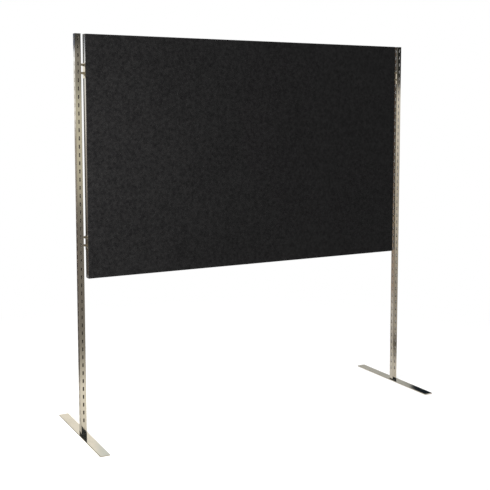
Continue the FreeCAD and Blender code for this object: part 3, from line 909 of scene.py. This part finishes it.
@dataclass
class EdgeChannel:
    """The aluminium extrusion in one side of the panel, with its end plugs."""

    side: Side
    plug_border: float = 1.6 * MM
    plug_hollow: float = 0.6 * MM

    def build(self) -> Piece:
        """Make the extrusion with eased corners and return it."""
        node = self.side.node("edge_channel")
        name = self.side.node("groove_extrusion")
        piece = publish(name, merged_copy(node), Body.PANEL, EXTRUSION, "aluminium", node)
        soften(piece, 0.22 * MM, 2, 35.0)
        return piece

    def plugs(self) -> Piece:
        """Make the two moulded plugs at the extrusion's ends and return the piece."""
        node = self.side.node("channel_caps")
        low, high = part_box(node)
        channel_low, channel_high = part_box(self.side.node("edge_channel"))
        shape = bmesh.new()
        for bottom, top in ((low.z, channel_low.z), (channel_high.z, high.z)):
            before = set(shape.faces)
            block(shape, Vector((low.x, low.y, bottom)), Vector((high.x, high.y, top)))
            outward = self.side.value
            made = set(shape.faces) - before
            face = max(made, key=lambda f: f.calc_center_median().x * outward)
            dish(shape, face, self.plug_border, self.plug_hollow)
        bmesh.ops.recalc_face_normals(shape, faces=shape.faces)
        name = self.side.node("channel_plugs")
        piece = publish(name, shape, Body.PANEL, PLUG_PLASTIC, "black_plastic", node)
        soften(piece, 0.4 * MM, 3, 35.0)
        return piece


@dataclass
class Hook:
    """A plated flange with two hooks."""

    side: Side
    level: str

    def build(self) -> Piece:
        """Make the bracket with eased edges and return it."""
        node = self.side.node(f"{self.level}_hook_bracket")
        name = self.side.node(f"{self.level}_hook")
        piece = publish(name, merged_copy(node), Body.PANEL, REFLECTION_TINTED_PLATE, "chrome", node)
        soften(piece, 0.3 * MM, 2, 35.0)
        return piece


@dataclass
class PanScrews:
    """A set of pan-head screws with cross recesses, driven into one side of the panel."""

    side: Side
    kind: str
    shank: float
    head: float
    head_tall: float
    heights: tuple[float, ...]
    y: float
    long: float
    # The head's outline, as shares of its radius and height.
    crown: Sequence[tuple[float, float]] = ((0.62, 1.0), (0.80, 0.90), (0.95, 0.62), (1.0, 0.25))
    taper: float = 0.85
    arm: float = 0.5
    arm_half: float = 0.12
    recess: float = 0.7
    # Radians to a metre of height, so that no two recesses line up.
    turn: float = 37.0

    def build(self) -> Piece:
        """Make every screw of the set and return the piece."""
        node = self.side.node(f"{self.kind}_screws")
        low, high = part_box(node)
        outer = high.x if self.side is Side.RIGHT else low.x
        shape = bmesh.new()
        for height in self.heights:
            screw = self._screw(shape)
            aim = Matrix.Rotation(self.side.value * math.pi / 2, 4, "Y")
            tilt = Matrix.Rotation(height * self.turn, 4, "Z")
            start = Matrix.Translation((outer - self.side.value * self.head_tall, self.y, height))
            bmesh.ops.transform(shape, matrix=start @ aim @ tilt, verts=screw)
        bmesh.ops.recalc_face_normals(shape, faces=shape.faces)
        name = self.side.node(f"{self.kind}_fixings")
        piece = publish(name, shape, Body.PANEL, STEEL, "steel", node)
        soften(piece, 0.08 * MM, 1, 35.0)
        return piece

    def _screw(self, shape: Shape) -> list[Vert]:
        """One screw, head up, with the underside of its head at the origin."""
        before = set(shape.verts)
        profile = [
            *((self.head * out, self.head_tall * up) for out, up in self.crown),
            (self.head, 0.0),
            (self.shank, 0.0),
            (self.shank, -self.long * self.taper),
            (0.0, -self.long),
        ]
        turned(shape, profile, 24)
        ring = [e for e in shape.edges if e.is_boundary and e.verts[0] not in before]
        arm, half = self.head * self.arm, self.head * self.arm_half
        top = Matrix.Translation((0, 0, self.head_tall))
        cross = bmesh.ops.create_circle(
            shape,
            cap_ends=False,
            segments=12,
            radius=arm,
            matrix=top @ Matrix.Rotation(math.pi / 12, 4, "Z"),
        )["verts"]
        for vert in cross:
            x, y = abs(vert.co.x), abs(vert.co.y)
            is_inner = abs(x - y) < arm * 0.1
            vert.co.x = math.copysign(half if is_inner or y > x else arm, vert.co.x)
            vert.co.y = math.copysign(half if is_inner or x > y else arm, vert.co.y)
        mouth = [e for e in shape.edges if all(v in cross for v in e.verts)]
        bmesh.ops.bridge_loops(shape, edges=ring + mouth)
        floor = pull(shape, mouth, (0, 0, -self.head_tall * self.recess))
        bmesh.ops.edgeloop_fill(shape, edges=floor)
        return [vert for vert in shape.verts if vert not in before]


def dress(finish: Finish, *nodes: str) -> None:
    """Give CAD nodes that are shown as they are their finish."""
    for node in nodes:
        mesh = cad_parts[node].data
        mesh.materials.clear()
        mesh.materials.append(finish.material())
        LOG.info("%s keeps its CAD shape in %s", node, finish.name)


def both(*parts: str) -> list[str]:
    """The CAD names of some parts, left and right."""
    return [side.node(part) for side in Side for part in parts]


# ---------------- the studio


@dataclass
class Studio:
    """A pale floor, soft light, the surroundings that chrome mirrors, and the camera."""

    eye: tuple[float, float, float] = (-2.3211, -4.1966, 1.6058)
    yaw: float = 0.49659
    pitch: float = 0.08749
    lens: float = 65.598
    shift: float = -0.11224
    dome: float = 0.66
    floor_radius: float = 60.0
    floor_tone: float = 0.93
    floor_glow: float = 0.3
    floor_fade: tuple[float, float] = (0.9, 2.8)
    wall_join: tuple[float, float] = (0.42, 0.66)
    overhead_from: tuple[float, float] = (0.20, 0.24)

    def build(self) -> None:
        """Make everything that isn't part of the object."""
        view = bpy.context.scene.view_settings
        view.view_transform = "Standard"
        view.look = "None"
        self._camera()
        self._floor()
        self._surroundings()
        self._lamp("key", (-1.8, -1.0, 1.45), (-0.8, 0.0, 1.35), 1.1, 76.0, (1.0, 0.965, 0.90))
        self._lamp("overhead", (0.0, 0.0, 5.5), (0.0, 0.0, 0.0), 5.0, 120.0)
        self._lamp("rear", (0.5, 3.6, 3.4), (0.0, 0.0, 1.0), 3.0, 60.0)

    def _camera(self) -> None:
        """Set up the camera."""
        lens = bpy.data.cameras.new("camera")
        lens.sensor_width = 36.0
        lens.lens = self.lens
        lens.shift_y = self.shift
        lens.clip_end = 200.0
        camera = bpy.data.objects.new("camera", lens)
        level = math.cos(self.pitch)
        ahead = (math.sin(self.yaw) * level, math.cos(self.yaw) * level, -math.sin(self.pitch))
        camera.rotation_mode = "QUATERNION"
        camera.rotation_quaternion = Vector(ahead).to_track_quat("-Z", "Y")
        camera.location = self.eye
        bpy.context.scene.collection.objects.link(camera)
        bpy.context.scene.camera = camera

    def _floor(self) -> None:
        """Lay a pale floor that fades into the light round it."""
        shape = bmesh.new()
        bmesh.ops.create_circle(shape, cap_ends=True, segments=96, radius=self.floor_radius)
        mesh = bpy.data.meshes.new("floor")
        shape.to_mesh(mesh)
        shape.free()
        floor = bpy.data.objects.new("floor", mesh)
        bpy.context.scene.collection.objects.link(floor)
        made = bpy.data.materials.new("pale_floor")
        made.use_nodes = True
        shader = Shader(made.node_tree)
        x, y, _ = shader.axes(shader.place())
        away = (x * x + y * y) ** 0.5
        paint = shader.add("ShaderNodeBsdfDiffuse", {}, {"Color": (self.floor_tone,) * 3})
        glow = shader.add("ShaderNodeEmission", {}, {"Color": (1, 1, 1), "Strength": 1.0})
        share = away.step(*self.floor_fade) * (1 - self.floor_glow) + self.floor_glow
        shades = {0: share, 1: paint.outputs[0], 2: glow.outputs[0]}
        blend = shader.add("ShaderNodeMixShader", {}, shades)
        shader.add("ShaderNodeOutputMaterial", {}, {"Surface": blend.outputs[0]})
        mesh.materials.append(made)
        floor.visible_glossy = False

    def _surroundings(self) -> None:
        """Light the scene evenly, and give mirrored rays a showroom to find."""
        world = bpy.data.worlds.new("studio")
        bpy.context.scene.world = world
        world.use_nodes = True
        shader = Shader(world.node_tree)
        direction = shader.add("ShaderNodeTexCoord", {}, {}).outputs["Generated"]
        x, y, z = shader.axes(direction)
        rise = z * 0.5 + 0.5
        bearing = x / abs(y).most(0.02)
        start, end = self.wall_join
        near, far = self._bands(shader, rise, FRONT_NEAR), self._bands(shader, rise, FRONT_FAR)
        front = shader.mix(bearing.step(start, end), near, far)
        near, far = self._bands(shader, rise, BACK_NEAR), self._bands(shader, rise, BACK_FAR)
        back = shader.mix(bearing.step(-start, -end), near, far)
        overhead = self._bands(shader, bearing * 0.5 + 0.5, BACK_OVERHEAD)
        back = shader.mix(z.step(*self.overhead_from), back, overhead)
        room = shader.mix(y.step(-0.04, 0.04), front, back)
        rays = shader.add("ShaderNodeLightPath", {}, {}).outputs
        lit = shader.mix(rays["Is Camera Ray"], (self.dome,) * 3, (1.0, 1.0, 1.0))
        shown = shader.mix(rays["Is Glossy Ray"], lit, room)
        light = shader.add("ShaderNodeBackground", {}, {"Color": shown, "Strength": 1.0})
        shader.add("ShaderNodeOutputWorld", {}, {"Surface": light.outputs[0]})

    @staticmethod
    def _bands(shader: Shader, share: Signal, bands: Stops) -> Socket:
        """Bands of screen colour, each placed from -1 to 1 along a share that runs from 0 to 1."""
        stops = [(0.5 + place / 2, linear(*colour)) for place, colour in bands]
        return shader.ramp(share, stops)

    def _lamp(
        self,
        name: str,
        place: Sequence[float],
        aim: Sequence[float],
        size: float,
        power: float,
        tint: Colour = (1.0, 1.0, 1.0),
    ) -> None:
        """Hang one soft square lamp.

        Args:
            name: The lamp's name.
            place: Where it hangs.
            aim: The point that it faces.
            size: Its width, in metres.
            power: Its power, in watts.
            tint: The colour of its light.
        """
        lamp = bpy.data.lights.new(name, "AREA")
        lamp.size = size
        lamp.energy = power
        lamp.color = tint
        holder = bpy.data.objects.new(name, lamp)
        holder.location = place
        ahead = Vector(aim) - Vector(place)
        holder.rotation_euler = ahead.to_track_quat("-Z", "Y").to_euler()
        holder.visible_glossy = False
        holder.visible_camera = False
        bpy.context.scene.collection.objects.link(holder)


# Each band is the sine of the height angle, and the colour that chrome shows there.
FRONT_NEAR = (
    (-1.0, (205, 197, 178)),
    (-0.380, (178, 169, 149)),
    (-0.330, (222, 213, 193)),
    (-0.296, (232, 223, 203)),
    (-0.283, (198, 190, 170)),
    (-0.262, (150, 143, 128)),
    (-0.245, (118, 112, 101)),
    (-0.112, (108, 102, 93)),
    (-0.098, (150, 143, 126)),
    (-0.086, (180, 172, 150)),
    (-0.035, (201, 193, 168)),
    (0.012, (188, 182, 160)),
    (0.026, (152, 148, 130)),
    (0.040, (138, 132, 118)),
    (0.064, (138, 132, 120)),
    (0.076, (62, 62, 58)),
    (0.400, (50, 52, 50)),
    (0.600, (190, 190, 186)),
    (1.0, (236, 236, 232)),
)
FRONT_FAR = (
    (-1.0, (205, 197, 180)),
    (-0.330, (185, 177, 160)),
    (-0.268, (200, 191, 176)),
    (-0.262, (92, 86, 76)),
    (-0.248, (86, 80, 72)),
    (-0.240, (168, 159, 144)),
    (-0.206, (148, 140, 127)),
    (-0.173, (158, 149, 134)),
    (-0.110, (184, 175, 158)),
    (-0.060, (182, 173, 157)),
    (-0.020, (206, 197, 181)),
    (0.016, (210, 201, 185)),
    (0.030, (84, 80, 74)),
    (0.040, (40, 41, 39)),
    (0.400, (38, 39, 38)),
    (0.600, (190, 190, 186)),
    (1.0, (236, 236, 232)),
)
BACK_NEAR = (
    (-1.0, (190, 183, 166)),
    (-0.350, (172, 165, 147)),
    (-0.320, (208, 200, 186)),
    (-0.298, (206, 198, 184)),
    (-0.276, (82, 75, 68)),
    (-0.130, (78, 71, 65)),
    (-0.098, (130, 122, 112)),
    (-0.062, (160, 152, 141)),
    (-0.030, (166, 158, 146)),
    (-0.006, (238, 232, 222)),
    (0.030, (232, 228, 218)),
    (0.046, (238, 235, 228)),
    (0.054, (255, 255, 252)),
    (0.066, (255, 255, 255)),
    (0.069, (104, 110, 122)),
    (0.120, (80, 84, 90)),
    (1.0, (120, 120, 118)),
)
BACK_FAR = (
    (-1.0, (205, 197, 182)),
    (-0.268, (202, 195, 182)),
    (-0.250, (168, 160, 148)),
    (-0.205, (196, 188, 176)),
    (-0.198, (158, 142, 126)),
    (-0.110, (138, 122, 106)),
    (-0.050, (92, 78, 68)),
    (0.000, (84, 70, 60)),
    (0.100, (74, 64, 56)),
    (1.0, (120, 118, 114)),
)
# The same for what hangs behind and above, by bearing: the sideways part over the part ahead.
BACK_OVERHEAD = (
    (-1.0, (70, 68, 64)),
    (-0.10, (70, 68, 62)),
    (0.10, (232, 225, 207)),
    (0.340, (240, 232, 214)),
    (0.345, (214, 215, 205)),
    (0.45, (220, 216, 202)),
    (0.64, (184, 181, 171)),
    (0.812, (172, 170, 161)),
    (0.820, (20, 28, 33)),
    (1.0, (20, 26, 30)),
)


# ---------------- putting it together


# How far above and below a bracket's middle its two screws sit.
SCREW_REACH = 23 * MM


def screw_sets(side: Side) -> list[PanScrews]:
    """The channel screws and the bracket screws of one side, placed from the CAD pieces."""
    low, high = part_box(side.node("channel_screws"))
    head = 3.8 * MM
    top, bottom = high.z - head, low.z + head
    channel = PanScrews(
        side,
        "channel",
        shank=2.0 * MM,
        head=head,
        head_tall=2.0 * MM,
        heights=(bottom, (bottom + top) / 2, top),
        y=(low.y + high.y) / 2,
        long=22 * MM,
    )
    low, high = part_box(side.node("bracket_screws"))
    middles = []
    for level in ("lower", "upper"):
        bracket_low, bracket_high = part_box(side.node(f"{level}_hook_bracket"))
        middles.append((bracket_low.z + bracket_high.z) / 2)
    bracket = PanScrews(
        side,
        "bracket",
        shank=2.2 * MM,
        head=4.2 * MM,
        head_tall=2.2 * MM,
        heights=tuple(middle + step * SCREW_REACH for middle in middles for step in (-1, 1)),
        y=(low.y + high.y) / 2,
        long=34 * MM,
    )
    return [channel, bracket]


def dress_cad_nodes() -> None:
    """Give the CAD nodes that keep their own shape their finishes."""
    dress(CHROME, *both("foot"))
    dress(STEEL, *both("foot_screws", "post_insert"))
    dress(UPRIGHT_TIMBER, *both("stile"), "centre_stile")
    dress(LEVEL_TIMBER, "top_rail", "bottom_rail")
    dress(BEECH, *both("dowels"))
    dress(KRAFT, *both("core_lattice"))
    dress(HARDBOARD, "front_board", "back_board")


def main() -> None:
    """Build the studio and every piece."""
    logging.basicConfig(level=logging.INFO, format="%(name)s: %(message)s")
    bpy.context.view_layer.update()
    Studio().build()
    for side in Side:
        Post(side).build()
        PostCap(side).build()
        FootPads(side).build()
        channel = EdgeChannel(side)
        channel.build()
        channel.plugs()
        for level in ("upper", "lower"):
            Hook(side, level).build()
        for screws in screw_sets(side):
            screws.build()
    for facing in Facing:
        Cover(facing).build()
    dress_cad_nodes()


if __name__ == "__main__":
    main()
